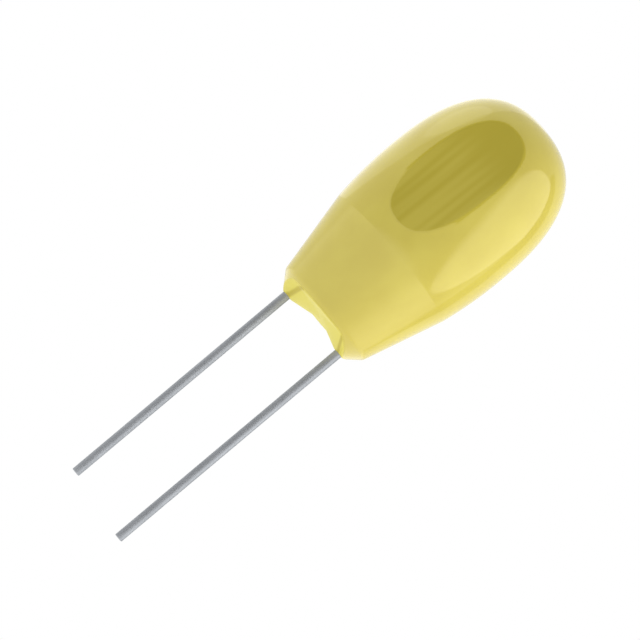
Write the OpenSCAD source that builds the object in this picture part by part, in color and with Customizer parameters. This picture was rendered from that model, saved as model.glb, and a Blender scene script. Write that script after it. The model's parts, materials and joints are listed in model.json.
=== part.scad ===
// Dipped radial tantalum capacitor: a sintered pellet and its two leads, sealed in epoxy.
// +Z runs up the axis. The origin lies midway between the leads, level with the two feet
// of the coat, and the marking flat faces -Y.

/* [Leads] */
// Distance between the centres of the two leads
lead_pitch = 5.08; // [4.6:0.02:6.2]
// Diameter of each lead below the coat, with its tin
lead_d = 0.6; // [0.4:0.01:0.75]
// Thickness of that tin, which stops where the coat begins
tin_t = 0.01; // [0.005:0.005:0.02]
// Length of the negative lead below the feet
negative_length = 17.4; // [8:0.1:30]
// How much further the positive lead reaches
positive_extra = 0.7; // [0:0.1:3]
// Radius of each bend in the leads, at the wire's centre
bend_r = 0.8; // [0.5:0.05:1]
// Angle by which the positive lead bends in to the riser
positive_bend = 50; // [40:1:60]
// Angle by which the negative lead bends out to the pellet's side
negative_bend = 35; // [30:1:50]
// Depth below the pellet at which the negative lead is upright again
negative_clear = 0.4; // [0.3:0.05:0.6]

/* [Coat] */
// Widest diameter of the bulb
bulb_d = 11.05; // [10.8:0.05:13.5]
// Height of the widest ring above the feet
widest_z = 10.94; // [10:0.05:13]
// Height of the crown above the widest ring
crown_h = 8.2; // [7.6:0.05:11]
// Fullness of the crown: 2 is an ellipse, and more is squarer
crown_power = 2.55; // [2.2:0.05:3]
// Diameter at the ring where the cone meets the bulb
seam_d = 10.32; // [10.1:0.02:10.7]
// Height of that ring
seam_z = 6.5; // [6:0.05:7.5]
// Diameter of the cone at its lower corner
base_d = 7.58; // [7.2:0.02:8.4]
// Height of that corner
base_z = 1.01; // [0.9:0.01:1.3]
// Radius that rounds the corner
base_round = 0.5; // [0.2:0.05:0.7]
// Coat outside each lead at the foot
foot_margin = 0.02; // [0.02:0.01:0.2]
// Height of the coat's flat end above the feet
end_z = 0.72; // [0.5:0.02:0.9]
// Slope of the nub that runs down each lead from the flat end
nub_slope = 17.4; // [14:0.2:24]

/* [Marking flat] */
// Distance of the flat from the axis, at its middle
flat_distance = 4.85; // [4.75:0.01:5]
// Height of the middle of the flat
flat_z = 12.6; // [12:0.05:13.5]
// Lean of the flat towards the crown
flat_tilt = 6.5; // [4:0.1:8]
// Radius of the faint swell that the flat has from end to end
flat_swell = 60; // [45:1:150]
// Width of the outline that is pressed into the bulb
flat_width = 4.74; // [4:0.02:5]
// Length of that outline
flat_length = 9.52; // [8:0.02:10]
// Fullness of the outline: 2 is an ellipse, and more is squarer
flat_power = 2.45; // [2:0.05:4]
// Turn of the outline about the middle of the flat
flat_roll = 2.1; // [0:0.1:5]

/* [Pellet] */
// Diameter of the sintered pellet
pellet_d = 7.2; // [5:0.1:7.4]
// Height of the pellet's lower face
pellet_z = 6.2; // [6:0.05:7]
// Length of the pellet
pellet_h = 9.8; // [6:0.1:10]
// Diameter of the riser wire
riser_d = 0.4; // [0.3:0.01:0.5]
// Depth to which the riser is sintered into the pellet
riser_root = 3; // [1:0.1:5]
// Length of the riser below the pellet
riser_free = 2.6; // [2:0.1:2.8]
// Length of the weld between the riser and the positive lead
weld_h = 1.2; // [0.8:0.1:1.4]
// Depth to which the weld presses the lead into the riser
weld_sink = 0.08; // [0.05:0.01:0.12]
// Diameter of the insulating washer
washer_d = 2.2; // [1.2:0.1:4]
// Thickness of the washer
washer_h = 0.25; // [0.15:0.05:0.4]

/* [Cathode coats] */
// Bare band left below the coats, at the pellet's lower end
bare_band = 0.5; // [0.2:0.1:1.5]
// Thickness of the manganese dioxide coat
oxide_t = 0.06; // [0.04:0.01:0.1]
// Thickness of the graphite coat
graphite_t = 0.05; // [0.03:0.01:0.1]
// Thickness of the silver coat
silver_t = 0.08; // [0.05:0.01:0.12]
// Film of solder between the silver and the negative lead
solder_film = 0.05; // [0.03:0.01:0.1]
// Solder over the outside of the negative lead
solder_t = 0.12; // [0.08:0.01:0.2]
// Length of the soldered joint
solder_h = 6.5; // [3:0.1:7]
// Half width of the fillet where it meets the silver
fillet_w = 1; // [0.8:0.05:1.3]

/* [Hidden] */
$fn = 96;
over = 1;

lead_r = lead_d / 2;
wire_d = lead_d - 2 * tin_t;
wire_r = wire_d / 2;
lead_x = lead_pitch / 2;
positive_length = negative_length + positive_extra;
bulb_r = bulb_d / 2;
seam_r = seam_d / 2;
foot_r = lead_x + lead_r + foot_margin;
nub_r = lead_r + 2 * foot_margin;
coat_top = widest_z + crown_h;
bend_lap = 2;
bend_draw = 0.98;
corner_steps = 8;
swell_steps = 14;
crown_steps = 36;
flat_steps = 72;

pellet_r = pellet_d / 2;
pellet_top = pellet_z + pellet_h;
oxide_r = pellet_r + oxide_t;
graphite_r = oxide_r + graphite_t;
silver_r = graphite_r + silver_t;
coats_z = pellet_z + bare_band;

riser_r = riser_d / 2;
riser_z = pellet_z - riser_free;
weld_x = riser_r + wire_r - weld_sink;
weld_z = riser_z + weld_h;
side_x = silver_r + solder_film + wire_r;
solder_z = coats_z;
solder_top = solder_z + solder_h;
side_top = solder_top - solder_t;

positive_step = lead_x - weld_x;
negative_step = side_x - lead_x;
positive_jog_z = riser_z - jog_rise(positive_step, positive_bend);
negative_jog_top = pellet_z - negative_clear;
negative_jog_z = negative_jog_top - jog_rise(negative_step, negative_bend);

function unit(v) = v / norm(v);
function turned(v, a) = [v.x * cos(a) - v.y * sin(a), v.x * sin(a) + v.y * cos(a)];

// Points of an arc that rounds corner b of the path a, b, c
function corner(a, b, c, radius, steps) =
    let (to_a = unit(a - b))
    let (to_c = unit(c - b))
    let (half = acos(to_a * to_c) / 2)
    let (centre = b + unit(to_a + to_c) * radius / sin(half))
    let (start = b + to_a * radius / tan(half) - centre)
    let (turn = (180 - 2 * half) * sign(cross(to_c, to_a)))
    [for (i = [0 : steps]) centre + turned(start, turn * i / steps)];

// Straight stretch between the two arcs of a jog that steps sideways by dx
function jog_run(dx, bend) = (dx - 2 * bend_r * (1 - cos(bend))) / sin(bend);
function jog_rise(dx, bend) = 2 * bend_r * sin(bend) + jog_run(dx, bend) * cos(bend);

// Half outline of the coat as [radius, height], from the feet to the tip of the crown
function foot_points() =
    corner([foot_r, 0], [base_d / 2, base_z], [seam_r, seam_z], base_round, corner_steps);
function swell_point(k) =
    [bulb_r - (bulb_r - seam_r) * pow(1 - k, 2), seam_z + (widest_z - seam_z) * k];
function crown_point(a) =
    [bulb_r * pow(cos(a), 2 / crown_power), widest_z + crown_h * pow(sin(a), 2 / crown_power)];
function coat_outline() = concat(
    [[0, 0], [foot_r, 0]],
    foot_points(),
    [for (i = [0 : swell_steps]) swell_point(i / swell_steps)],
    [for (i = [1 : crown_steps - 1]) crown_point(90 * i / crown_steps)],
    [[0, coat_top]]);

// A nub round a lead, carried on below its tip and above the flat end
module nub(x) {
    top_z = end_z + over;
    top_r = nub_r + top_z / tan(nub_slope);
    translate([x, 0, 0])
        rotate_extrude()
            polygon([[0, -2 * over], [nub_r, -2 * over], [nub_r, 0], [top_r, top_z], [0, top_z]]);
}

// Everything below the flat end, apart from the two nubs
module end_cut() {
    difference() {
        translate([0, 0, -over])
            cylinder(r = bulb_r, h = over + end_z);
        nub(-lead_x);
        nub(lead_x);
    }
}

// Outline of the marking flat, seen from in front of it
function flat_point(a) =
    [flat_width / 2 * sign(cos(a)) * pow(abs(cos(a)), 2 / flat_power),
        flat_length / 2 * sign(sin(a)) * pow(abs(sin(a)), 2 / flat_power)];

// What is pressed out of the bulb in front of the flat, which is a shallow arc from end to end
module flat_cut() {
    translate([0, -flat_distance, flat_z])
        rotate([-flat_tilt, 0, 0])
            difference() {
                rotate([90, flat_roll, 0])
                    translate([0, 0, -over])
                        linear_extrude(height = bulb_d)
                            polygon([for (i = [1 : flat_steps]) flat_point(360 * i / flat_steps)]);
                translate([0, flat_swell, 0])
                    rotate([0, 90, 0])
                        cylinder(r = flat_swell, h = flat_width + 2 * over, center = true);
            }
}

// Outer form of the coat, still solid
module coat_form() {
    difference() {
        rotate_extrude()
            polygon(coat_outline());
        end_cut();
        flat_cut();
    }
}

// An upright stretch of bare wire
module upright(x, z_low, z_high) {
    translate([x, 0, z_low])
        cylinder(d = wire_d, h = z_high - z_low);
}

// The tinned stretch of a lead, from its cut end up to the foot of the coat
module tinned(x, length) {
    translate([x, 0, -length])
        cylinder(d = lead_d, h = length);
}

// A jog in the XZ plane that starts upright at the origin and steps dx along +X
module jog(dx, bend) {
    run = jog_run(dx, bend);
    rise = jog_rise(dx, bend);
    lower_bend(bend);
    translate([dx, 0, rise])
        rotate([0, 180, 0])
            lower_bend(bend);
    translate([bend_r * (1 - cos(bend)), 0, bend_r * sin(bend)])
        rotate([0, bend, 0])
            cylinder(d = wire_d, h = run);
}

// One bend of wire, from upright at the origin over towards +X. Bending draws the wire a
// little thinner, and each end of the bend laps into the straight wire beyond it.
module lower_bend(bend) {
    translate([bend_r, 0, 0])
        rotate([90, 0, 0])
            rotate([0, 0, 180 - bend - bend_lap])
                rotate_extrude(angle = bend + 2 * bend_lap)
                    translate([bend_r, 0])
                        circle(d = wire_d * bend_draw);
}

// The pellet with its coats, filled up to a given radius
module cup(radius, crown_t, inner_r) {
    difference() {
        translate([0, 0, coats_z])
            cylinder(r = radius, h = pellet_top + crown_t - coats_z);
        translate([0, 0, coats_z - over])
            cylinder(r = inner_r, h = pellet_top + crown_t - (radius - inner_r) - coats_z + over);
    }
}

module epoxy_coat() {
    color("gold")
        difference() {
            coat_form();
            insides();
        }
}

// What the coat is dipped over
module insides() {
    positive_lead();
    negative_lead();
    riser_wire();
    insulating_washer();
    solder_joint();
    translate([0, 0, pellet_z])
        cylinder(r = pellet_r, h = bare_band);
    translate([0, 0, coats_z])
        cylinder(r = silver_r, h = pellet_top + silver_r - pellet_r - coats_z);
}

module positive_lead() {
    color("silver") {
        tinned(lead_x, positive_length);
        upright(lead_x, -over, positive_jog_z);
        translate([lead_x, 0, positive_jog_z])
            mirror([1, 0, 0])
                jog(positive_step, positive_bend);
        upright(weld_x, riser_z, weld_z);
    }
}

module negative_lead() {
    color("silver") {
        tinned(-lead_x, negative_length);
        upright(-lead_x, -over, negative_jog_z);
        translate([-lead_x, 0, negative_jog_z])
            mirror([1, 0, 0])
                jog(negative_step, negative_bend);
        upright(-side_x, negative_jog_top, side_top);
    }
}

module riser_wire() {
    color("slategray")
        difference() {
            translate([0, 0, riser_z])
                cylinder(r = riser_r, h = riser_free + riser_root);
            upright(weld_x, riser_z - over, weld_z);
        }
}

module anode_pellet() {
    color("dimgray")
        difference() {
            translate([0, 0, pellet_z])
                cylinder(r = pellet_r, h = pellet_h);
            translate([0, 0, pellet_z - over])
                cylinder(r = riser_r, h = over + riser_root);
        }
}

module insulating_washer() {
    color("white")
        translate([0, 0, pellet_z - washer_h])
            difference() {
                cylinder(d = washer_d, h = washer_h);
                translate([0, 0, -over])
                    cylinder(r = riser_r, h = washer_h + 2 * over);
            }
}

module manganese_dioxide_coat() {
    color("black")
        cup(oxide_r, oxide_t, pellet_r);
}

module graphite_coat() {
    color("darkslategray")
        cup(graphite_r, oxide_t + graphite_t, oxide_r);
}

module silver_coat() {
    color("lightgray")
        cup(silver_r, oxide_t + graphite_t + silver_t, graphite_r);
}

// Section of the joint: solder round the lead, drawn out to the silver on each side
module solder_section() {
    back_x = sqrt(pow(silver_r, 2) - pow(fillet_w, 2));
    difference() {
        union() {
            translate([-side_x, 0])
                circle(r = wire_r + solder_t);
            polygon([[-side_x, wire_r + solder_t], [-side_x, -wire_r - solder_t],
                [-back_x, -fillet_w], [-back_x + solder_t, 0], [-back_x, fillet_w]]);
        }
        circle(r = silver_r);
    }
}

module solder_joint() {
    color("gainsboro")
        difference() {
            translate([0, 0, solder_z])
                linear_extrude(height = solder_h)
                    solder_section();
            upright(-side_x, solder_z - over, side_top);
        }
}

epoxy_coat();
positive_lead();
negative_lead();
riser_wire();
anode_pellet();
insulating_washer();
manganese_dioxide_coat();
graphite_coat();
silver_coat();
solder_joint();
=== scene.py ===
"""Looks of a dipped radial tantalum capacitor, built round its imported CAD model.

+Z runs up the axis from the leads to the crown, the marking flat faces -Y and the positive lead
is on +X. Lengths are in metres, apart from those of the materials' patterns, which are in
millimetres. Sizes that the frame holds are read from it.
"""

import json
import math

import bpy
import numpy as np
from bpy.props import FloatProperty, FloatVectorProperty, IntProperty, PointerProperty
from mathutils import Matrix, Vector


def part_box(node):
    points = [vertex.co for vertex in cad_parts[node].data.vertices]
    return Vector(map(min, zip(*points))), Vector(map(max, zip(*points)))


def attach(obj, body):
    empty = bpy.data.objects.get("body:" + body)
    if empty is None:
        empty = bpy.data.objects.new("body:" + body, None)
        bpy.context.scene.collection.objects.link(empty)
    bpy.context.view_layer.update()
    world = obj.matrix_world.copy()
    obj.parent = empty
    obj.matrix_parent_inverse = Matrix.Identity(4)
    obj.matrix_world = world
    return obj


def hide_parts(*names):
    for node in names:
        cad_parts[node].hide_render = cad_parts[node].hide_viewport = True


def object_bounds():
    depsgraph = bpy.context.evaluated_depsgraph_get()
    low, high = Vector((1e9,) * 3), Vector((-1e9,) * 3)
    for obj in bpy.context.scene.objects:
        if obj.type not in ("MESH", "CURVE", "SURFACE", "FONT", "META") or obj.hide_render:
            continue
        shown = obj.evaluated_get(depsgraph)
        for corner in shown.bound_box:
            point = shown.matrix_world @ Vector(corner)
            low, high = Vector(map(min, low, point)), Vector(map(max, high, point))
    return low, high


bl_info = {
    "name": "Dipped tantalum capacitor",
    "version": (1, 0, 0),
    "blender": (4, 5, 0),
    "location": "View3D > Sidebar > Capacitor",
    "description": "Builds the coat, the leads and the finishes of a dipped tantalum capacitor",
    "category": "Object",
}

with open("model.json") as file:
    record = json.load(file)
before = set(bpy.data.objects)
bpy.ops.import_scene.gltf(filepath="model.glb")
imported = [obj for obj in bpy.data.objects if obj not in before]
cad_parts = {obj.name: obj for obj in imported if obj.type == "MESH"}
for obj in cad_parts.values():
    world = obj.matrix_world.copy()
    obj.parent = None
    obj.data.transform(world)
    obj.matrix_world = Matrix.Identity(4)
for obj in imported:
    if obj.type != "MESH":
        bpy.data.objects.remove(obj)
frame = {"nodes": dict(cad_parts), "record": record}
CAD_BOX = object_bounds()

MM = 0.001
MICRON = 0.000001
BODY = "root"
LEADS_MOUNT = next(mount for mount in frame["record"]["mounts"] if mount["name"] == "leads")
COAT_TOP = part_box("epoxy_coat")[1]
RISER_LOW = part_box("riser_wire")[0]
PELLET_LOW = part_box("anode_pellet")[0]
FLOOR_Z = CAD_BOX[0].z


# Properties ---------------------------------------------------------------------------------


def size(name, description, millimetres):
    """A length that a user may change, given here in millimetres."""
    return FloatProperty(name=name, description=description, default=millimetres * MM,
                         unit="LENGTH", subtype="DISTANCE", precision=5)


def angle(name, description, degrees):
    """An angle that a user may change, given here in degrees."""
    return FloatProperty(name=name, description=description, default=math.radians(degrees),
                         subtype="ANGLE")


def linear(colour):
    """An sRGB hex value as linear red, green, blue and a full alpha, as a shader takes it."""
    shares = [int(colour[i:i + 2], 16) / 255 for i in (1, 3, 5)]
    return [s / 12.92 if s <= 0.04045 else ((s + 0.055) / 1.055) ** 2.4 for s in shares] + [1]


def tint(name, description, colour):
    """A colour that a user may change, given here as an sRGB hex value."""
    return FloatVectorProperty(name=name, description=description, default=linear(colour),
                               subtype="COLOR", size=4, min=0, max=1)


def power(name, default):
    """The power of a rounded outline."""
    return FloatProperty(name=name, description="2 is an ellipse, and more is squarer",
                         default=default, min=1)


def level(name, description, radiance):
    """A radiance, for which 1 is white."""
    return FloatProperty(name=name, description=description, default=radiance, min=0)


class CoatSettings(bpy.types.PropertyGroup):
    """Form of the epoxy coat"""

    bulb_radius: size("Bulb radius", "Widest radius of the bulb", COAT_TOP.x / MM)
    widest_z: size("Widest ring", "Height of the widest ring above the feet", 10.94)
    top_z: size("Crown tip", "Height of the tip of the crown", COAT_TOP.z / MM)
    crown_power: power("Crown fullness", 2.55)
    seam_radius: size("Seam radius", "Radius of the ring where the cone meets the bulb", 5.16)
    seam_z: size("Seam height", "Height of that ring", 6.5)
    corner_radius: size("Corner radius", "Radius of the cone at its lower corner", 3.79)
    corner_z: size("Corner height", "Height of that corner", 1.01)
    corner_round: size("Corner rounding", "Radius that rounds the corner", 0.5)
    foot_margin: size("Foot margin", "Coat outside each lead at the foot", 0.02)
    end_z: size("End height", "Height of the coat's flat end above the feet", 0.72)
    nub_slope: angle("Nub slope", "Slope of the nub that runs down each lead", 17.4)
    edge_blend: size("Edge blend", "Band over which the edges of the end run together", 0.06)
    flat_distance: size("Flat distance", "Distance of the flat from the axis", 4.85)
    flat_z: size("Flat height", "Height of the middle of the flat", 12.6)
    flat_lean: angle("Flat lean", "Lean of the flat towards the crown", 6.5)
    flat_swell: size("Flat swell", "Radius of the flat's faint swell from end to end", 60)
    flat_width: size("Flat width", "Width of the outline pressed into the bulb", 4.74)
    flat_length: size("Flat length", "Length of that outline", 9.52)
    flat_power: power("Flat fullness", 2.45)
    flat_roll: angle("Flat roll", "Turn of the outline about the middle of the flat", 2.1)
    rim_blend: size("Rim blend", "Band over which the bulb runs into the flat", 0.05)
    columns: IntProperty(name="Columns", description="Points round the coat", default=310)


class LeadSettings(bpy.types.PropertyGroup):
    """Form of the two leads"""

    pitch: size("Pitch", "Distance between the centres of the leads", LEADS_MOUNT["dims"]["pcd_mm"])
    radius: size("Radius", "Radius of a lead with its tin", LEADS_MOUNT["dims"]["stud_r_mm"])
    tin: size("Tin", "Thickness of the tin, which stops inside the coat", 0.01)
    bend_radius: size("Bend radius", "Radius of each bend, at the wire's centre", 0.8)
    positive_bend: angle("Positive bend", "Angle of the positive lead's jog", 50)
    negative_bend: angle("Negative bend", "Angle of the negative lead's jog", 35)
    negative_clear: size("Negative clearance", "Depth below the pellet at which its jog ends", 0.4)
    cut_round: size("Cut rounding", "Radius of the edge that the cutter leaves", 0.03)
    around: IntProperty(name="Points round", description="Points round each lead", default=64)


class FinishSettings(bpy.types.PropertyGroup):
    """Colours and marks of the surfaces that show"""

    epoxy: tint("Epoxy", "Yellow of the epoxy", "#B7A942")
    epoxy_deep: tint("Epoxy, deep", "Yellow where the pigment lies thicker", "#B2A33D")
    # The end's yellow is painted lighter than the epoxy's, as painted light from below.
    epoxy_end_painted_light: tint("Epoxy, end", "Yellow of the dull end", "#C4B948")
    # This tone is painted shade, along the end's edge and on a short line before each lead.
    crease_shade: tint("Crease", "Tone of the crease round the end and of the folds", "#AB9D2B")
    # Lean and reach of the painted shade before each lead
    negative_fold_shade: angle("Negative fold", "Lean of the fold before the negative lead", 20)
    negative_fold_shade_width: size("Negative fold width", "Reach of that fold at either side", 0.26)
    positive_fold_shade: angle("Positive fold", "Lean of the fold before the positive lead", 0)
    positive_fold_shade_width: size("Positive fold width", "Reach of that fold at either side", 0.17)
    # The flat's olive is a painted dark reflection, and its lighter streaks are painted reflections.
    flat: tint("Flat", "Olive tone of the pressed flat", "#A99B3A")
    flat_streak_reflection: tint("Flat streaks", "Tone of the drag marks down the flat", "#B4A647")
    tin: tint("Tin", "Grey of the tinned wire", "#A5A8AC")
    tin_dull: tint("Tin, dull", "Grey where the tin has dulled", "#9FA2A6")


class StudioSettings(bpy.types.PropertyGroup):
    """Camera, lamps, floor and surround"""

    azimuth: angle("Azimuth", "Camera's direction, from the front round to the right", 15.5)
    elevation: angle("Elevation", "Camera's direction above the horizon", -5)
    roll: angle("Roll", "Turn that lays the part over to the right in the view", 50)
    distance: FloatProperty(name="Distance", description="From the camera to the part",
                            default=1.4, unit="LENGTH", subtype="DISTANCE")
    view_width: size("View width", "Width that the view covers at the part", 40.31)
    pan_right: size("Pan right", "Shift of the view to the right of the feet", 0.49)
    pan_up: size("Pan up", "Shift of the view above the feet", 0.282)
    key: level("Key", "Radiance that the three key lamps add to the surround", 1.2)
    rim: level("Rim", "Radiance that the wide left-hand lamp adds", 0.4)
    core: level("Core", "Radiance that the lamp in front of it adds", 0.4)
    fill: level("Fill", "Radiance of the lamp that fills the right-hand side", 2.35)
    left_fill: level("Left fill", "Radiance of the lamp that fills the left-hand side", 1.6)
    dimmed: level("Dimmed", "Radiance of the surround round the front card", 0.85)
    pool: level("Pool", "Radiance of the lit pool of floor", 1.45)
    pool_reach: size("Pool reach", "Radius of the lit pool of floor", 125)
    spill: level("Spill", "Radiance that the key lamps add to the floor below them", 0.5)
    spill_reach: size("Spill reach", "Radius of the floor that they light, and its distance", 85)


class CapacitorSettings(bpy.types.PropertyGroup):
    """Everything that a user may change"""

    coat: PointerProperty(type=CoatSettings)
    leads: PointerProperty(type=LeadSettings)
    finish: PointerProperty(type=FinishSettings)
    studio: PointerProperty(type=StudioSettings)


# Surfaces -----------------------------------------------------------------------------------

# Points along the coat's corner, swell and crown, and the step at which they are then respaced
CORNER_POINTS, SWELL_POINTS, CROWN_POINTS = 24, 200, 2000
FINE_STEP = 0.01 * MM
# Distances between the coat's rows: over the plain stretches, the flat, the seam and the end
PLAIN_ROWS, FLAT_ROWS, SEAM_ROWS, END_ROWS = 0.19 * MM, 0.058 * MM, 0.04 * MM, 0.08 * MM
# How far the flat's rows go on behind it, and the seam's at either side of it
FLAT_MARGIN, SEAM_MARGIN = 0.1 * MM, 0.15 * MM
# How far a column moves towards the front, in radians, where the columns gather most
GATHER = 0.8
# The flat's rim is found in directions half a degree apart, each by halving a stretch of this
# length to either side this many times
RIM_DIRECTIONS, RIM_SEARCH, HALVINGS = 721, 1 * MM, 30
# Points along a lead: below its jog, on the first bend, between the bends, on the second, above
WIRE_POINTS = 48, 24, 4, 24, 6
# Points on the quarter round at each end of a lead
CUT_POINTS = 7
# Heights inside the coat between which the tin runs out
TIN_RUNS_OUT = 0.3 * MM, 0.5 * MM


def unit(vector):
    """The vector at length 1."""
    return vector / np.linalg.norm(vector)


def smooth_min(a, b, band):
    """The lesser of a and b, with the change from one to the other drawn over a band:
    min(a, b) - band / 4 * (1 - |a - b| / band) ^ 2 wherever they are closer than the band."""
    near = np.maximum(1 - np.abs(a - b) / band, 0)
    return np.minimum(a, b) - band / 4 * near ** 2


def smooth_max(a, b, band):
    """The greater of a and b, drawn over a band in the same way."""
    return -smooth_min(-a, -b, band)


def eased(share):
    """share clipped to 0 and 1 and run in gently at both, as share^2 * (3 - 2 * share)."""
    share = share.clip(0, 1)
    return share ** 2 * (3 - 2 * share)


def rounded_corner(a, b, c, radius, count):
    """Arc that rounds corner b of the path a, b, c: its centre lies on the corner's bisector, at
    radius / sin(half the corner), and its points turn evenly between the two tangent points."""
    to_a, to_c = unit(a - b), unit(c - b)
    half = math.acos(to_a @ to_c) / 2
    centre = b + unit(to_a + to_c) * radius / math.sin(half)
    first, last = (b + to * radius / math.tan(half) - centre for to in (to_a, to_c))
    turn = math.pi - 2 * half
    k = np.linspace(0, 1, count)[:, None]
    return centre + (first * np.sin((1 - k) * turn) + last * np.sin(k * turn)) / math.sin(turn)


def respaced(curve, spacing):
    """The same curve with its points as far apart as spacing says beside each of them: points
    stand at whole numbers of the running sum of length / spacing."""
    length = np.linalg.norm(np.diff(curve, axis=0), axis=1)
    steps = np.concatenate([[0], np.cumsum(2 * length / (spacing[1:] + spacing[:-1]))])
    count = math.ceil(steps[-1])
    return np.stack([np.interp(np.linspace(0, steps[-1], count + 1), steps, axis)
                     for axis in curve.T], axis=1)


def skin(name, rings, first, last, material):
    """A closed, smooth object from rings, an array of [ring, place round it, xyz], and the poles
    that close its first and last ring. Quads join ring i to ring i + 1 and fans close the ends.
    Faces point outwards when a ring runs anticlockwise, seen from the last pole."""
    count, around = rings.shape[:2]
    here = np.arange(count * around).reshape(count, around)
    beside = np.roll(here, -1, axis=1)
    quads = np.stack([here[:-1], beside[:-1], beside[1:], here[1:]], axis=-1).reshape(-1, 4)
    first_pole = np.full(around, here.size)
    last_pole = first_pole + 1
    fans = np.concatenate([np.stack([first_pole, beside[0], here[0]], axis=-1),
                           np.stack([last_pole, here[-1], beside[-1]], axis=-1)])
    mesh = bpy.data.meshes.new(name)
    mesh.from_pydata(np.vstack([rings.reshape(-1, 3), first, last]), [],
                     quads.tolist() + fans.tolist())
    mesh.shade_smooth()
    mesh.materials.append(material)
    piece = bpy.data.objects.new(name, mesh)
    bpy.context.scene.collection.objects.link(piece)
    return piece


def flat_axes(coat):
    """The directions across, up and out of the marking flat. Out is square to it, and up leans
    with it towards the crown."""
    cos, sin = math.cos(coat.flat_lean), math.sin(coat.flat_lean)
    return np.array([[1, 0, 0], [0, sin, cos], [0, -cos, sin]])


def in_flat_frame(coat, points):
    """Each point as [across, up, out] from the middle of the marking flat."""
    return (points - [0, -coat.flat_distance, coat.flat_z]) @ flat_axes(coat).T


def from_flat_frame(coat, place):
    """The points that have these places in the flat's frame."""
    return place @ flat_axes(coat) + [0, -coat.flat_distance, coat.flat_z]


def above_flat(coat, place):
    """How far each place in the flat's frame stands in front of the flat. The flat is an arc
    from end to end, which falls back by swell - sqrt(swell^2 - v^2) at a height v."""
    v = place[..., 1]
    return place[..., 2] + coat.flat_swell - np.sqrt(coat.flat_swell ** 2 - v ** 2)


def in_outline(coat, place):
    """Where each place in the flat's frame lies in its outline |x / a|^p + |y / b|^p = 1, which
    is turned a little about the middle: its share, which is the left side to the power 1 / p,
    so that the middle has 0 and the outline 1, and its direction from the middle."""
    cos, sin = math.cos(coat.flat_roll), math.sin(coat.flat_roll)
    x = place[..., 0] * cos - place[..., 1] * sin
    y = place[..., 0] * sin + place[..., 1] * cos
    share = (np.abs(2 * x / coat.flat_width) ** coat.flat_power
             + np.abs(2 * y / coat.flat_length) ** coat.flat_power) ** (1 / coat.flat_power)
    return share, np.arctan2(y, x)


def rim_heights(coat, outline, directions):
    """How far the bulb stands in front of the flat along the flat's outline, in each direction
    from the middle. It is found by halving a stretch square to the flat until the distance from
    the axis, hypot(x, y), is the bulb's radius at that height."""
    turned = directions - coat.flat_roll
    place = np.stack([np.cos(turned), np.sin(turned), 0 * turned], axis=-1)
    place /= in_outline(coat, place)[0][:, None]
    low, high = np.full(len(turned), -RIM_SEARCH), np.full(len(turned), RIM_SEARCH)
    for _ in range(HALVINGS):
        place[:, 2] = (low + high) / 2
        x, y, z = from_flat_frame(coat, place).T
        within = np.hypot(x, y) < np.interp(z, outline[:, 1], outline[:, 0])
        low, high = np.where(within, place[:, 2], low), np.where(within, high, place[:, 2])
    return above_flat(coat, place)


def coat_outline(coat, foot_radius):
    """Half outline of the coat as [radius, height], from the axis out along the feet, and up.
    Cone: a straight line from a rounded corner up to the seam.
    Swell: radius = bulb - (bulb - seam) * (1 - k)^2 as k runs from the seam to the widest ring.
    Crown: radius = bulb * cos(a)^(2 / power), rise = crown height * sin(a)^(2 / power)."""
    foot = np.array([foot_radius, 0])
    seam = np.array([coat.seam_radius, coat.seam_z])
    corner = rounded_corner(foot, np.array([coat.corner_radius, coat.corner_z]), seam,
                            coat.corner_round, CORNER_POINTS)
    k = np.linspace(0, 1, SWELL_POINTS)
    swell = np.stack([coat.bulb_radius - (coat.bulb_radius - coat.seam_radius) * (1 - k) ** 2,
                      coat.seam_z + (coat.widest_z - coat.seam_z) * k], axis=1)
    a = np.linspace(0, math.pi / 2, CROWN_POINTS)[1:]
    crown = np.stack([coat.bulb_radius * np.cos(a).clip(0) ** (2 / coat.crown_power),
                      coat.widest_z + (coat.top_z - coat.widest_z)
                      * np.sin(a) ** (2 / coat.crown_power)], axis=1)
    path = np.vstack([[[0, 0], foot], corner, swell, crown])
    fine = respaced(path, np.full(len(path), FINE_STEP))
    return respaced(fine, row_spacing(coat, *fine.T))


def row_spacing(coat, radius, height):
    """Distance between the rows of points: close where the end's edges, the seam and the flat's
    rim cross them, and wider over the plain stretches."""
    front = np.stack([0 * radius, -radius, height], axis=-1)
    over_flat = above_flat(coat, in_flat_frame(coat, front)) > -FLAT_MARGIN
    by_seam = np.abs(height - coat.seam_z) < SEAM_MARGIN
    by_end = height < coat.corner_z + coat.corner_round
    return np.select([by_end, by_seam, over_flat], [END_ROWS, SEAM_ROWS, FLAT_ROWS], PLAIN_ROWS)


def end_height(coat, leads, x, y):
    """Height of the coat's end over the feet: a flat end, from which a nub runs down each lead.
    A nub is a cone, (distance from the lead's centre - nub radius) * tan(slope), cut off level
    with the feet, where its radius is the lead's and twice the foot margin."""
    nub_radius = leads.radius + 2 * coat.foot_margin
    reach = np.hypot(np.abs(x) - leads.pitch / 2, y) - nub_radius
    cone = np.maximum(reach, 0) * math.tan(coat.nub_slope)
    return smooth_min(cone, coat.end_z, coat.edge_blend)


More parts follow.
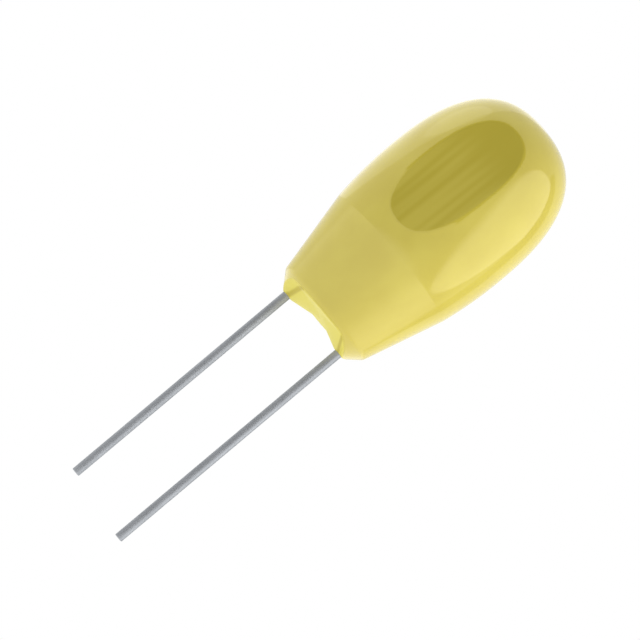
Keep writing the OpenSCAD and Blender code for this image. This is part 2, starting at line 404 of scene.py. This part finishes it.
def coat_rings(coat, leads):
    """The coat's surface as a grid of [row, column, xyz], its two poles, and the flat's and the
    end's shares of the finish at each point and pole.
    Turned form: x = r sin(p), y = -r cos(p), where the columns gather towards the front as
    p = t - gather * sin(t), so that the flat's rim is drawn finely. They do so more and more from
    the corner up to the seam.
    End: z becomes the smooth greater of z and the end's height at x, y. The end's share grows
    from 0 to 1 as (end's height - z) / edge blend goes from -3/2 to -1/2.
    Flat: the pressed face dips from the rim to the flat as rim height * share^2, and a point
    that stands a distance e in front of that moves straight back, so that e becomes the smooth
    lesser of e and 0. So the face meets the bulb along the whole outline. The flat's share grows
    from 0 to 1 as e / rim blend goes from -1/2 to 1/2."""
    outline = coat_outline(coat, leads.pitch / 2 + leads.radius + coat.foot_margin)
    radius, height = outline[1:-1, 0, None], outline[1:-1, 1, None]
    t = np.linspace(0, 2 * math.pi, coat.columns, endpoint=False)
    gather = GATHER * ((height - coat.corner_z) / (coat.seam_z - coat.corner_z)).clip(0, 1)
    p = t - gather * np.sin(t)
    grid = np.stack([radius * np.sin(p), -radius * np.cos(p), height + 0 * p], axis=-1)
    end = end_height(coat, leads, grid[..., 0], grid[..., 1])
    grid[..., 2] = smooth_max(grid[..., 2], end, coat.edge_blend)
    place = in_flat_frame(coat, grid)
    share, direction = in_outline(coat, place)
    directions = np.linspace(-math.pi, math.pi, RIM_DIRECTIONS)
    rim = np.interp(direction, directions, rim_heights(coat, outline, directions))
    before = above_flat(coat, place) - rim * share ** 2
    grid += (smooth_min(before, 0, coat.rim_blend) - before)[..., None] * flat_axes(coat)[2]
    on_flat = eased(before / coat.rim_blend + 0.5)
    on_end = eased((end - height) / coat.edge_blend + 1.5)
    poles = [0, 0, end_height(coat, leads, 0, 0)], [0, 0, coat.top_z]
    return grid, poles, {"on_flat": (on_flat, 0, 0), "on_end": (on_end, 1, 0)}


def lead_rings(leads, start_x, start_z, shift, bend, jog_top, top_z):
    """A round wire carried along its centreline, as [ring, place round it, xyz], and its poles.
    The centreline lies in the XZ plane. Its jog moves it by shift towards -X and ends at the
    height jog_top. Its heading from +Z is 0, turns evenly to the bend's angle and, past a
    straight run, back to 0. The two arcs shift it by 2 * bend radius * (1 - cos(bend)) and the run
    by the rest. Summing the heading's sine and cosine gives x and z.
    A ring is centre + r (cos(t) * side + sin(t) * Y), where side is square to the heading."""
    run = (shift - 2 * leads.bend_radius * (1 - math.cos(bend))) / math.sin(bend)
    arc = leads.bend_radius * bend
    rise = 2 * leads.bend_radius * math.sin(bend) + run * math.cos(bend)
    stretches = [jog_top - rise - start_z, arc, run, arc, top_z - jog_top]
    knots = np.concatenate([[0], np.cumsum(stretches)])
    along = np.concatenate([np.linspace(low, high, count, endpoint=False)
                            for low, high, count in zip(knots, knots[1:], WIRE_POINTS)]
                           + [knots[-1:]])
    heading = np.interp(along, knots, [0, 0, -bend, -bend, 0, 0])
    middle, length = (heading[1:] + heading[:-1]) / 2, np.diff(along)
    x = start_x + np.concatenate([[0], np.cumsum(np.sin(middle) * length)])
    z = start_z + np.concatenate([[0], np.cumsum(np.cos(middle) * length)])
    radius = np.interp(z, TIN_RUNS_OUT, [leads.radius, leads.radius - leads.tin])
    centre = np.stack([x, 0 * x, z], axis=-1)
    centre, heading, radius = rounded_ends(centre, heading, radius, leads.cut_round)
    side = np.stack([np.cos(heading), 0 * heading, -np.sin(heading)], axis=-1)
    t = np.linspace(0, 2 * math.pi, leads.around, endpoint=False)
    across = np.cos(t)[:, None] * side[:, None] + np.sin(t)[:, None] * np.array([0, 1, 0])
    return centre[:, None] + radius[:, None, None] * across, centre[0], centre[-1]


def rounded_ends(centre, heading, radius, rounding):
    """The same wire with a quarter round at each upright end: the radius grows as
    r - rounding * (1 - sin(a)) while the centre moves in by rounding * (1 - cos(a))."""
    a = np.linspace(0, math.pi / 2, CUT_POINTS)
    shrink = rounding * (1 - np.sin(a))
    inset = np.stack([0 * a, 0 * a, rounding * (1 - np.cos(a))], axis=-1)
    centre = np.vstack([centre[0] + inset, centre[1:-1], (centre[-1] - inset)[::-1]])
    heading = np.concatenate([0 * a, heading[1:-1], 0 * a])
    radius = np.concatenate([radius[0] - shrink, radius[1:-1], (radius[-1] - shrink)[::-1]])
    return centre, heading, radius


# Materials ----------------------------------------------------------------------------------

# A MapRange node takes a value, the range that it comes from and the range that it goes to, which
# is 0 to 1 where none is given.

WHITE, BLACK = linear("#FFFFFF"), linear("#000000")
# Heights, in millimetres, between which the painted streak reflections on the flat fade out towards
# the crown
STREAK_REFLECTION_FADES = 16.0, 13.0
# Lowest and highest roughness of the coat's gloss and of the satin tin, and the dull end's
GLOSS_ROUGHNESS, TIN_ROUGHNESS, END_ROUGHNESS = (0.05, 0.09), (0.56, 0.62), 0.6
# Distances before a lead's middle, in millimetres, between which the painted shade before it sets
# in, and the share of that shade's width over which it is full
FOLD_SHADE_START, FOLD_SHADE_CORE = (0.1, 0.4), 0.3


def add(tree, kind, *feeds, out=None, **settings):
    """Adds a node with its settings. The feeds go to the inputs that these leave in use, in their
    order: another node's output is linked, a value is set, and None leaves the input as it is.
    Returns the output called out, or else the first in use."""
    node = tree.nodes.new("ShaderNode" + kind)
    for name, value in settings.items():
        setattr(node, name, value)
    for socket, feed in zip([socket for socket in node.inputs if socket.enabled], feeds):
        if isinstance(feed, bpy.types.NodeSocket):
            tree.links.new(feed, socket)
        elif feed is not None:
            socket.default_value = feed
    return node.outputs[out] if out else next(socket for socket in node.outputs if socket.enabled)


def new_material(name, **surface):
    """A new material with its tree and its main shader. surface holds the shader's values that
    are the same all over, with _ for a space."""
    material = bpy.data.materials.new(name)
    material.use_nodes = True
    tree = material.node_tree
    shader = tree.nodes["Principled BSDF"]
    for key, value in surface.items():
        shader.inputs[key.replace("_", " ")].default_value = value
    return material, tree, shader


def give_surface(tree, shader, colour, roughness, height, relief, strength=1.0):
    """Gives the main shader its colour, its roughness and its relief, which is the height, from 0
    to 1, times this many metres."""
    normal = add(tree, "Bump", strength, relief, None, height)
    for name, output in ("Base Color", colour), ("Roughness", roughness), ("Normal", normal):
        tree.links.new(output, shader.inputs[name])


def place_in_mm(tree):
    """The place of each point in the piece's own axes, in millimetres."""
    place = add(tree, "TexCoord", out="Object")
    return add(tree, "VectorMath", place, 1 / MM, operation="SCALE")


def blots(tree, place, grain, detail, roughness=0.5):
    """Noise from 0 to 1 whose blots are about as wide as grain, in millimetres along each axis."""
    place = add(tree, "VectorMath", place, grain, operation="DIVIDE")
    return add(tree, "TexNoise", place, 1.0, detail, roughness)


def fold_shade(tree, place, foot, lean, width):
    """A line of painted shade that runs from a lead's foot to the front and leans to the right: 1 on
    its line, and 0 beyond its width at either side and behind the foot."""
    place = add(tree, "VectorMath", place, (foot, 0, 0), operation="SUBTRACT")
    cos, sin = math.cos(lean), math.sin(lean)
    across = add(tree, "VectorMath", place, (cos, sin, 0), operation="DOT_PRODUCT")
    ahead = add(tree, "VectorMath", place, (sin, -cos, 0), operation="DOT_PRODUCT")
    aside = add(tree, "Math", across, operation="ABSOLUTE")
    near = add(tree, "MapRange", aside, width, FOLD_SHADE_CORE * width, interpolation_type="SMOOTHSTEP")
    before = add(tree, "MapRange", ahead, *FOLD_SHADE_START, interpolation_type="SMOOTHSTEP")
    return add(tree, "Math", near, before, operation="MULTIPLY")


def end_crease_shade(tree, place, on_end, finish, half_pitch):
    """Where shade is painted on the skin of the end, from 0 to 1: on a broken line all along its
    edge, where on_end is neither 0 nor 1, and on a short line before each lead."""
    off_end = add(tree, "Math", 1.0, on_end, operation="SUBTRACT")
    edge = add(tree, "Math", on_end, off_end, operation="MULTIPLY")
    edge = add(tree, "MapRange", edge, 0.0, 0.25, interpolation_type="SMOOTHSTEP")
    breaks = blots(tree, place, grain=(1.2, 1.2, 1.2), detail=1)
    breaks = add(tree, "MapRange", breaks, 0.42, 0.62, 0.1, 0.75, interpolation_type="SMOOTHSTEP")
    edge = add(tree, "Math", edge, breaks, operation="MULTIPLY")
    fold_shades = (fold_shade(tree, place, -half_pitch, finish.negative_fold_shade, finish.negative_fold_shade_width / MM),
             fold_shade(tree, place, half_pitch, finish.positive_fold_shade, finish.positive_fold_shade_width / MM))
    fold_shades = add(tree, "Math", *fold_shades, operation="MAXIMUM")
    fold_shades = add(tree, "Math", fold_shades, on_end, operation="MULTIPLY")
    return add(tree, "Math", edge, fold_shades, operation="MAXIMUM")


def epoxy_material(finish, half_pitch):
    """Epoxy, laid on as powder in a heated bed and flowed to a gloss before it cured.
    That gives an even opaque yellow with a hard clear shine, the faintest orange peel, and
    pigment a little deeper here and there. The flat, pressed while soft, is painted a darker olive
    as a painted dark reflection, with lighter painted reflections in streaks along the axis. The
    end, where the coat drained off round the leads, is duller and painted lighter, as painted light
    from below, with painted shade on a broken line along its edge and a short line before each lead."""
    material, tree, shader = new_material("epoxy_flowed", IOR=1.57, Metallic=0.06)
    place = place_in_mm(tree)
    on_flat = add(tree, "Attribute", attribute_name="on_flat", out="Fac")
    on_end = add(tree, "Attribute", attribute_name="on_end", out="Fac")
    pigment = blots(tree, place, grain=(2.6, 2.6, 3.4), detail=3)
    pigment = add(tree, "MapRange", pigment, 0.3, 0.7, interpolation_type="SMOOTHSTEP")
    skin_colour_and_painted_light = add(tree, "Mix", pigment, finish.epoxy, finish.epoxy_deep, data_type="RGBA")
    # The dull end is painted a lighter yellow, as painted light from below
    skin_colour_and_painted_light = add(tree, "Mix", on_end, skin_colour_and_painted_light, finish.epoxy_end_painted_light, data_type="RGBA")
    # Painted shade along the end's edge and before each lead
    crease_shade = end_crease_shade(tree, place, on_end, finish, half_pitch)
    skin_colour_and_painted_light = add(tree, "Mix", crease_shade, skin_colour_and_painted_light, finish.crease_shade, data_type="RGBA")
    # Lighter streaks down the flat, painted reflections
    streak_reflection = blots(tree, place, grain=(0.5, 5.0, 14.0), detail=0)
    streak_reflection = add(tree, "MapRange", streak_reflection, 0.25, 0.75, interpolation_type="SMOOTHSTEP")
    height = add(tree, "SeparateXYZ", place, out="Z")
    fade = add(tree, "MapRange", height, *STREAK_REFLECTION_FADES, interpolation_type="SMOOTHSTEP")
    streak_reflection = add(tree, "Math", streak_reflection, fade, operation="MULTIPLY")
    # The flat's olive tone is a painted dark reflection
    flat_painted_reflection = add(tree, "Mix", streak_reflection, finish.flat, finish.flat_streak_reflection, data_type="RGBA")
    colour = add(tree, "Mix", on_flat, skin_colour_and_painted_light, flat_painted_reflection, data_type="RGBA")
    gloss = blots(tree, place, grain=(1.1, 1.1, 1.1), detail=3)
    gloss = add(tree, "MapRange", gloss, 0.3, 0.7, *GLOSS_ROUGHNESS, interpolation_type="SMOOTHSTEP")
    roughness = add(tree, "Mix", on_end, gloss, END_ROUGHNESS)
    peel = blots(tree, place, grain=(0.8, 0.8, 0.8), detail=1)
    give_surface(tree, shader, colour, roughness, peel, relief=1.2 * MICRON)
    return material


def tinned_wire_material(finish):
    """Tinned wire, drawn through a die and dipped in tin.
    That gives a satin grey metal with fine lines along its length, drawn here three times as
    coarse as they are so that they show, and dull patches where the tin has aged."""
    material, tree, shader = new_material("tinned_drawn_wire", Metallic=1.0,
                                          Specular_Tint=linear("#CBCBCB"))
    place = place_in_mm(tree)
    age = blots(tree, place, grain=(0.5, 0.5, 1.6), detail=3)
    age = add(tree, "MapRange", age, 0.35, 0.7, interpolation_type="SMOOTHSTEP")
    colour = add(tree, "Mix", age, finish.tin, finish.tin_dull, data_type="RGBA")
    lines = blots(tree, place, grain=(0.06, 0.06, 5.0), detail=1)
    satin = add(tree, "MapRange", lines, 0.3, 0.7, *TIN_ROUGHNESS, interpolation_type="SMOOTHSTEP")
    give_surface(tree, shader, colour, satin, lines, relief=0.3 * MICRON, strength=0.8)
    return material


def grained_material(name, light, dark, grain, relief, metallic, rough):
    """A surface of blots between two colours, each about as wide as grain, in millimetres along
    each axis, which stand up by relief, in microns. rough holds its lowest and highest
    roughness, and the blots that stand highest are the lightest and the least rough."""
    material, tree, shader = new_material(name, Metallic=metallic)
    height = blots(tree, place_in_mm(tree), grain, detail=3, roughness=0.6)
    share = add(tree, "MapRange", height, 0.35, 0.65, interpolation_type="SMOOTHSTEP")
    colour = add(tree, "Mix", share, linear(dark), linear(light), data_type="RGBA")
    roughness = add(tree, "MapRange", height, 0.3, 0.7, *reversed(rough),
                    interpolation_type="SMOOTHSTEP")
    give_surface(tree, shader, colour, roughness, height, relief=relief * MICRON)
    return material


# For each node inside the coat, its real material and how its surface was made. Grains finer than
# a few hundredths of a millimetre are drawn that coarse, so that they show.
INSIDES = {
    # Tantalum drawn through a die: blue-grey metal with lines along it
    "riser_wire": dict(name="tantalum_drawn", light="#9B9EA6", dark="#74777F",
                       grain=(0.03, 0.03, 2.0), relief=1.5, metallic=1.0, rough=(0.28, 0.4)),
    # Tantalum powder pressed and sintered: a matt dark grey full of pores
    "anode_pellet": dict(name="tantalum_sintered", light="#6B6C70", dark="#38393D",
                         grain=(0.06, 0.06, 0.06), relief=12, metallic=0.7, rough=(0.6, 0.8)),
    # Fluoropolymer, punched from sheet: white and waxy
    "insulating_washer": dict(name="fluoropolymer_punched", light="#F1F1EE", dark="#E2E2DC",
                              grain=(0.2, 0.2, 0.2), relief=2, metallic=0.0, rough=(0.35, 0.5)),
    # Manganese dioxide baked from its nitrate: a dull black crust
    "manganese_dioxide_coat": dict(name="manganese_dioxide_baked", light="#23201E", dark="#0F0D0C",
                                   grain=(0.08, 0.08, 0.08), relief=8, metallic=0.0,
                                   rough=(0.7, 0.9)),
    # Graphite dried from a dip: dark grey with a faint lustre
    "graphite_coat": dict(name="graphite_dipped", light="#4A4B4E", dark="#2B2C2F",
                          grain=(0.15, 0.15, 0.15), relief=3, metallic=0.2, rough=(0.45, 0.65)),
    # Silver flake paint, dipped: a pale satin grey
    "silver_coat": dict(name="silver_paint_dipped", light="#D2D1CC", dark="#B2B1AB",
                        grain=(0.12, 0.12, 0.12), relief=4, metallic=0.8, rough=(0.4, 0.6)),
    # Tin solder, melted on and cooled: bright, with soft swells
    "solder_joint": dict(name="solder_cooled", light="#C6C8CC", dark="#A6A8AD",
                         grain=(0.7, 0.7, 0.9), relief=6, metallic=1.0, rough=(0.18, 0.3)),
}


# Studio -------------------------------------------------------------------------------------

LAMP_DISTANCE, CARD_DISTANCE = 0.5, 0.4
# For each lamp: its azimuth and elevation, half the width and half the height that it covers
# round them, all in degrees, the setting for its radiance, how many lamps share that, and whether
# gloss shows the lamp. The key lamps all reach round to azimuth 124 and start at 58, 54 and 50,
# so that their highlight fades out towards the front.
LAMPS = {
    "key_lamp": (91, 25, 33, 33, "key", 3, True),
    "key_lamp_wider": (89, 25, 35, 33, "key", 3, True),
    "key_lamp_widest": (87, 25, 37, 33, "key", 3, True),
    "rim_lamp": (-122, 24, 40, 26, "rim", 1, True),
    "rim_core": (-97, 28, 18, 17, "core", 1, True),
    "fill_lamp": (137, 5, 42, 42, "fill", 1, False),
    "left_fill_lamp": (-130, 2, 42, 42, "left_fill", 1, False),
}
# For each card: its azimuth, half its width, the elevations of its lower and upper edges, all in
# degrees, and its shade
CARDS = {
    "front_card": (-16, 53, 8, 72, 0),
    "side_card": (132, 8, -15, 52, 0.5),
}
# Direction round which the surround is dimmed, and how far from it that begins and is full
DIMMED_AZIMUTH, DIMMED_ELEVATION = math.radians(-14), math.radians(30)
DIMMED_FROM, DIMMED_WITHIN = math.radians(60), math.radians(45)
# Shares of its reach at which the floor's lit pool ends and is full, and the same for the spill
POOL_EDGE, SPILL_EDGE = (1.15, 0.9), (0.7, 0.2)
# How far the floor reaches along each axis, and where the camera's view begins and ends
FLOOR_REACH = 2.0
CLIP_START, CLIP_END = 0.1, 10


def towards(azimuth, elevation):
    """Direction at an azimuth from the front round to the right, and an elevation, in radians."""
    return Vector((math.sin(azimuth) * math.cos(elevation),
                   -math.cos(azimuth) * math.cos(elevation), math.sin(elevation)))


def aimed(direction, distance, roll=0.0):
    """Matrix that stands a thing off along a direction and faces its -Z back at the part, with
    its own Y as nearly upright as that allows, then rolled."""
    turn = direction.to_track_quat("Z", "Y").to_matrix().to_4x4()
    return Matrix.Translation(direction * distance) @ turn @ Matrix.Rotation(roll, 4, "Z")


def new_lamp(studio, name, azimuth, elevation, half_width, half_height, setting, sharers, shown):
    """A soft oval lamp from the table above. A lamp of area A and radiance L gives out
    pi * A * L watts. One that isn't shown lights the part and stays out of its gloss."""
    radiance = getattr(studio, setting) / sharers
    lamp = bpy.data.lights.new(name, "AREA")
    lamp.shape = "ELLIPSE"
    lamp.size = 2 * LAMP_DISTANCE * math.tan(math.radians(half_width))
    lamp.size_y = 2 * LAMP_DISTANCE * math.tan(math.radians(half_height))
    lamp.energy = radiance * math.pi * math.pi * lamp.size * lamp.size_y / 4
    holder = bpy.data.objects.new(name, lamp)
    direction = towards(math.radians(azimuth), math.radians(elevation))
    holder.matrix_world = aimed(direction, LAMP_DISTANCE)
    holder.visible_camera = False
    holder.visible_glossy = shown
    bpy.context.scene.collection.objects.link(holder)


def stage_plane(name, corners, material):
    """A flat sheet of the studio with these corners, which belongs to the stage."""
    mesh = bpy.data.meshes.new(name)
    mesh.from_pydata([tuple(corner) for corner in corners], [], [range(len(corners))])
    mesh.materials.append(material)
    sheet = bpy.data.objects.new(name, mesh)
    bpy.context.scene.collection.objects.link(sheet)
    return sheet


def card(name, azimuth, half_width, low, high, shade):
    """An upright card that only the gloss reflects, of an even shade from black, 0, to white, 1.
    It covers half_width each side of its azimuth, and in line with its middle it goes from the
    elevation low to the elevation high, in degrees."""
    material = new_material(name, Base_Color=BLACK, Roughness=1.0, Specular_IOR_Level=0.0,
                            Emission_Color=WHITE, Emission_Strength=shade)[0]
    place = aimed(towards(math.radians(azimuth), 0), CARD_DISTANCE)
    x, bottom, top = (CARD_DISTANCE * math.tan(math.radians(a)) for a in (half_width, low, high))
    outline = (-x, bottom, 0), (x, bottom, 0), (x, top, 0), (-x, top, 0)
    sheet = stage_plane(name, [place @ Vector(corner) for corner in outline], material)
    sheet.visible_camera = False
    sheet.visible_diffuse = False


def pale_floor(studio):
    """A pale floor under the cut ends of the leads. It's plain to the camera, which sees through
    it from below. All other rays see a lit pool of it round the part and a brighter one below
    the key lamps, and past those they go on to the surround."""
    material, tree, plain = new_material("pale_floor", Base_Color=linear("#F2F1EE"), Roughness=0.9)
    clear = add(tree, "BsdfTransparent")
    place = add(tree, "TexCoord", out="Object")
    pool_edge = [share * studio.pool_reach for share in POOL_EDGE]
    spill_edge = [share * studio.spill_reach for share in SPILL_EDGE]
    away = add(tree, "VectorMath", place, operation="LENGTH")
    pool = add(tree, "MapRange", away, *pool_edge, interpolation_type="SMOOTHSTEP")
    spill_middle = (studio.spill_reach, 0, FLOOR_Z)
    away = add(tree, "VectorMath", place, spill_middle, operation="DISTANCE")
    spill = add(tree, "MapRange", away, *spill_edge, interpolation_type="SMOOTHSTEP")
    strength = add(tree, "Math", spill, studio.spill, studio.pool, operation="MULTIPLY_ADD")
    lit = add(tree, "Emission", WHITE, strength)
    covered = add(tree, "Math", pool, spill, operation="MAXIMUM")
    unseen = add(tree, "MixShader", covered, clear, lit)
    behind = add(tree, "NewGeometry", out="Backfacing")
    seen = add(tree, "MixShader", behind, plain.outputs[0], clear)
    to_camera = add(tree, "LightPath", out="Is Camera Ray")
    surface = add(tree, "MixShader", to_camera, unseen, seen)
    tree.links.new(surface, tree.nodes["Material Output"].inputs["Surface"])
    corners = [(x * FLOOR_REACH, y * FLOOR_REACH, FLOOR_Z)
               for x, y in ((-1, -1), (1, -1), (1, 1), (-1, 1))]
    stage_plane("floor", corners, material)


def white_world(studio):
    """The surround, which is also the background: an even white. Round the front card the part
    sees it dimmer."""
    world = bpy.data.worlds.new("white_surround")
    world.use_nodes = True
    tree = world.node_tree
    place = add(tree, "TexCoord", out="Generated")
    middle = towards(DIMMED_AZIMUTH, DIMMED_ELEVATION)
    facing = add(tree, "VectorMath", place, middle, operation="DOT_PRODUCT")
    strength = add(tree, "MapRange", facing, math.cos(DIMMED_FROM), math.cos(DIMMED_WITHIN),
                   1.0, studio.dimmed, interpolation_type="SMOOTHSTEP")
    to_camera = add(tree, "LightPath", out="Is Camera Ray")
    strength = add(tree, "Mix", to_camera, strength, 1.0)
    tree.links.new(strength, tree.nodes["Background"].inputs["Strength"])
    tree.nodes["Background"].inputs["Color"].default_value = WHITE
    bpy.context.scene.world = world


def new_camera(studio):
    """A long lens turned to the part, whose view is as wide as the settings say at the part."""
    lens = bpy.data.cameras.new("camera")
    lens.lens = lens.sensor_width * studio.distance / studio.view_width
    lens.clip_start = CLIP_START
    lens.clip_end = CLIP_END
    camera = bpy.data.objects.new("camera", lens)
    direction = towards(studio.azimuth, studio.elevation)
    stand = aimed(direction, studio.distance, studio.roll)
    across, up = stand.col[0].to_3d(), stand.col[1].to_3d()
    pan = across * studio.pan_right + up * studio.pan_up
    camera.matrix_world = Matrix.Translation(pan) @ stand
    bpy.context.scene.collection.objects.link(camera)
    bpy.context.scene.camera = camera


# Operators ----------------------------------------------------------------------------------


class CAPACITOR_OT_coat(bpy.types.Operator):
    """Build the epoxy coat in place of its CAD node"""

    bl_idname = "capacitor.coat"
    bl_label = "Epoxy coat"

    def execute(self, context):
        settings = context.scene.capacitor
        rings, poles, shares = coat_rings(settings.coat, settings.leads)
        material = epoxy_material(settings.finish, settings.leads.pitch / MM / 2)
        coat = skin("epoxy_skin", rings, *poles, material)
        for name, (on_rings, *on_poles) in shares.items():
            share = coat.data.attributes.new(name, "FLOAT", "POINT")
            share.data.foreach_set("value", np.append(on_rings, on_poles))
        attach(coat, BODY)
        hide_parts("epoxy_coat")
        return {"FINISHED"}


class CAPACITOR_OT_leads(bpy.types.Operator):
    """Build the two leads in place of their CAD nodes"""

    bl_idname = "capacitor.leads"
    bl_label = "Leads"

    def execute(self, context):
        settings = context.scene.capacitor
        leads = settings.leads
        material = tinned_wire_material(settings.finish)
        half_pitch, wire_radius = leads.pitch / 2, leads.radius - leads.tin
        negative_top = PELLET_LOW.z - leads.negative_clear
        for node, x, bend, jog_top in (
                ("positive_lead", half_pitch, leads.positive_bend, RISER_LOW.z),
                ("negative_lead", -half_pitch, leads.negative_bend, negative_top)):
            low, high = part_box(node)
            shift = x - (low.x + wire_radius)
            rings, first, last = lead_rings(leads, x, low.z, shift, bend, jog_top, high.z)
            lead = skin(node + "_wire", rings, first, last, material)
            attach(lead, BODY)
            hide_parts(node)
        return {"FINISHED"}


class CAPACITOR_OT_insides(bpy.types.Operator):
    """Give each CAD node inside the coat its finish"""

    bl_idname = "capacitor.insides"
    bl_label = "Insides"

    def execute(self, context):
        for node, finish in INSIDES.items():
            slots = frame["nodes"][node].data.materials
            slots.clear()
            slots.append(grained_material(**finish))
        return {"FINISHED"}


class CAPACITOR_OT_stage(bpy.types.Operator):
    """Set up the camera, the floor, the lamps and the surround"""

    bl_idname = "capacitor.stage"
    bl_label = "Stage"

    def execute(self, context):
        studio = context.scene.capacitor.studio
        context.scene.view_settings.view_transform = "Standard"
        new_camera(studio)
        white_world(studio)
        pale_floor(studio)
        for name, lamp in LAMPS.items():
            new_lamp(studio, name, *lamp)
        for name, sheet in CARDS.items():
            card(name, *sheet)
        return {"FINISHED"}


class CAPACITOR_PT_panel(bpy.types.Panel):
    """The capacitor's settings and what builds it"""

    bl_label = "Tantalum capacitor"
    bl_space_type = "VIEW_3D"
    bl_region_type = "UI"
    bl_category = "Capacitor"

    def draw(self, context):
        settings = context.scene.capacitor
        for group in (settings.coat, settings.leads, settings.finish, settings.studio):
            box = self.layout.box()
            for name in group.__annotations__:
                box.prop(group, name)
        for operator in OPERATORS:
            self.layout.operator(operator.bl_idname)


OPERATORS = (CAPACITOR_OT_coat, CAPACITOR_OT_leads, CAPACITOR_OT_insides, CAPACITOR_OT_stage)
CLASSES = (CoatSettings, LeadSettings, FinishSettings, StudioSettings, CapacitorSettings,
           *OPERATORS, CAPACITOR_PT_panel)


def register():
    """Makes the settings, the operators and the panel known to Blender."""
    for kind in CLASSES:
        bpy.utils.register_class(kind)
    bpy.types.Scene.capacitor = PointerProperty(type=CapacitorSettings)


def unregister():
    """Takes them away again."""
    del bpy.types.Scene.capacitor
    for kind in reversed(CLASSES):
        bpy.utils.unregister_class(kind)


def main():
    """Builds the whole part."""
    register()
    bpy.ops.capacitor.coat()
    bpy.ops.capacitor.leads()
    bpy.ops.capacitor.insides()
    bpy.ops.capacitor.stage()


if __name__ == "__main__":
    main()
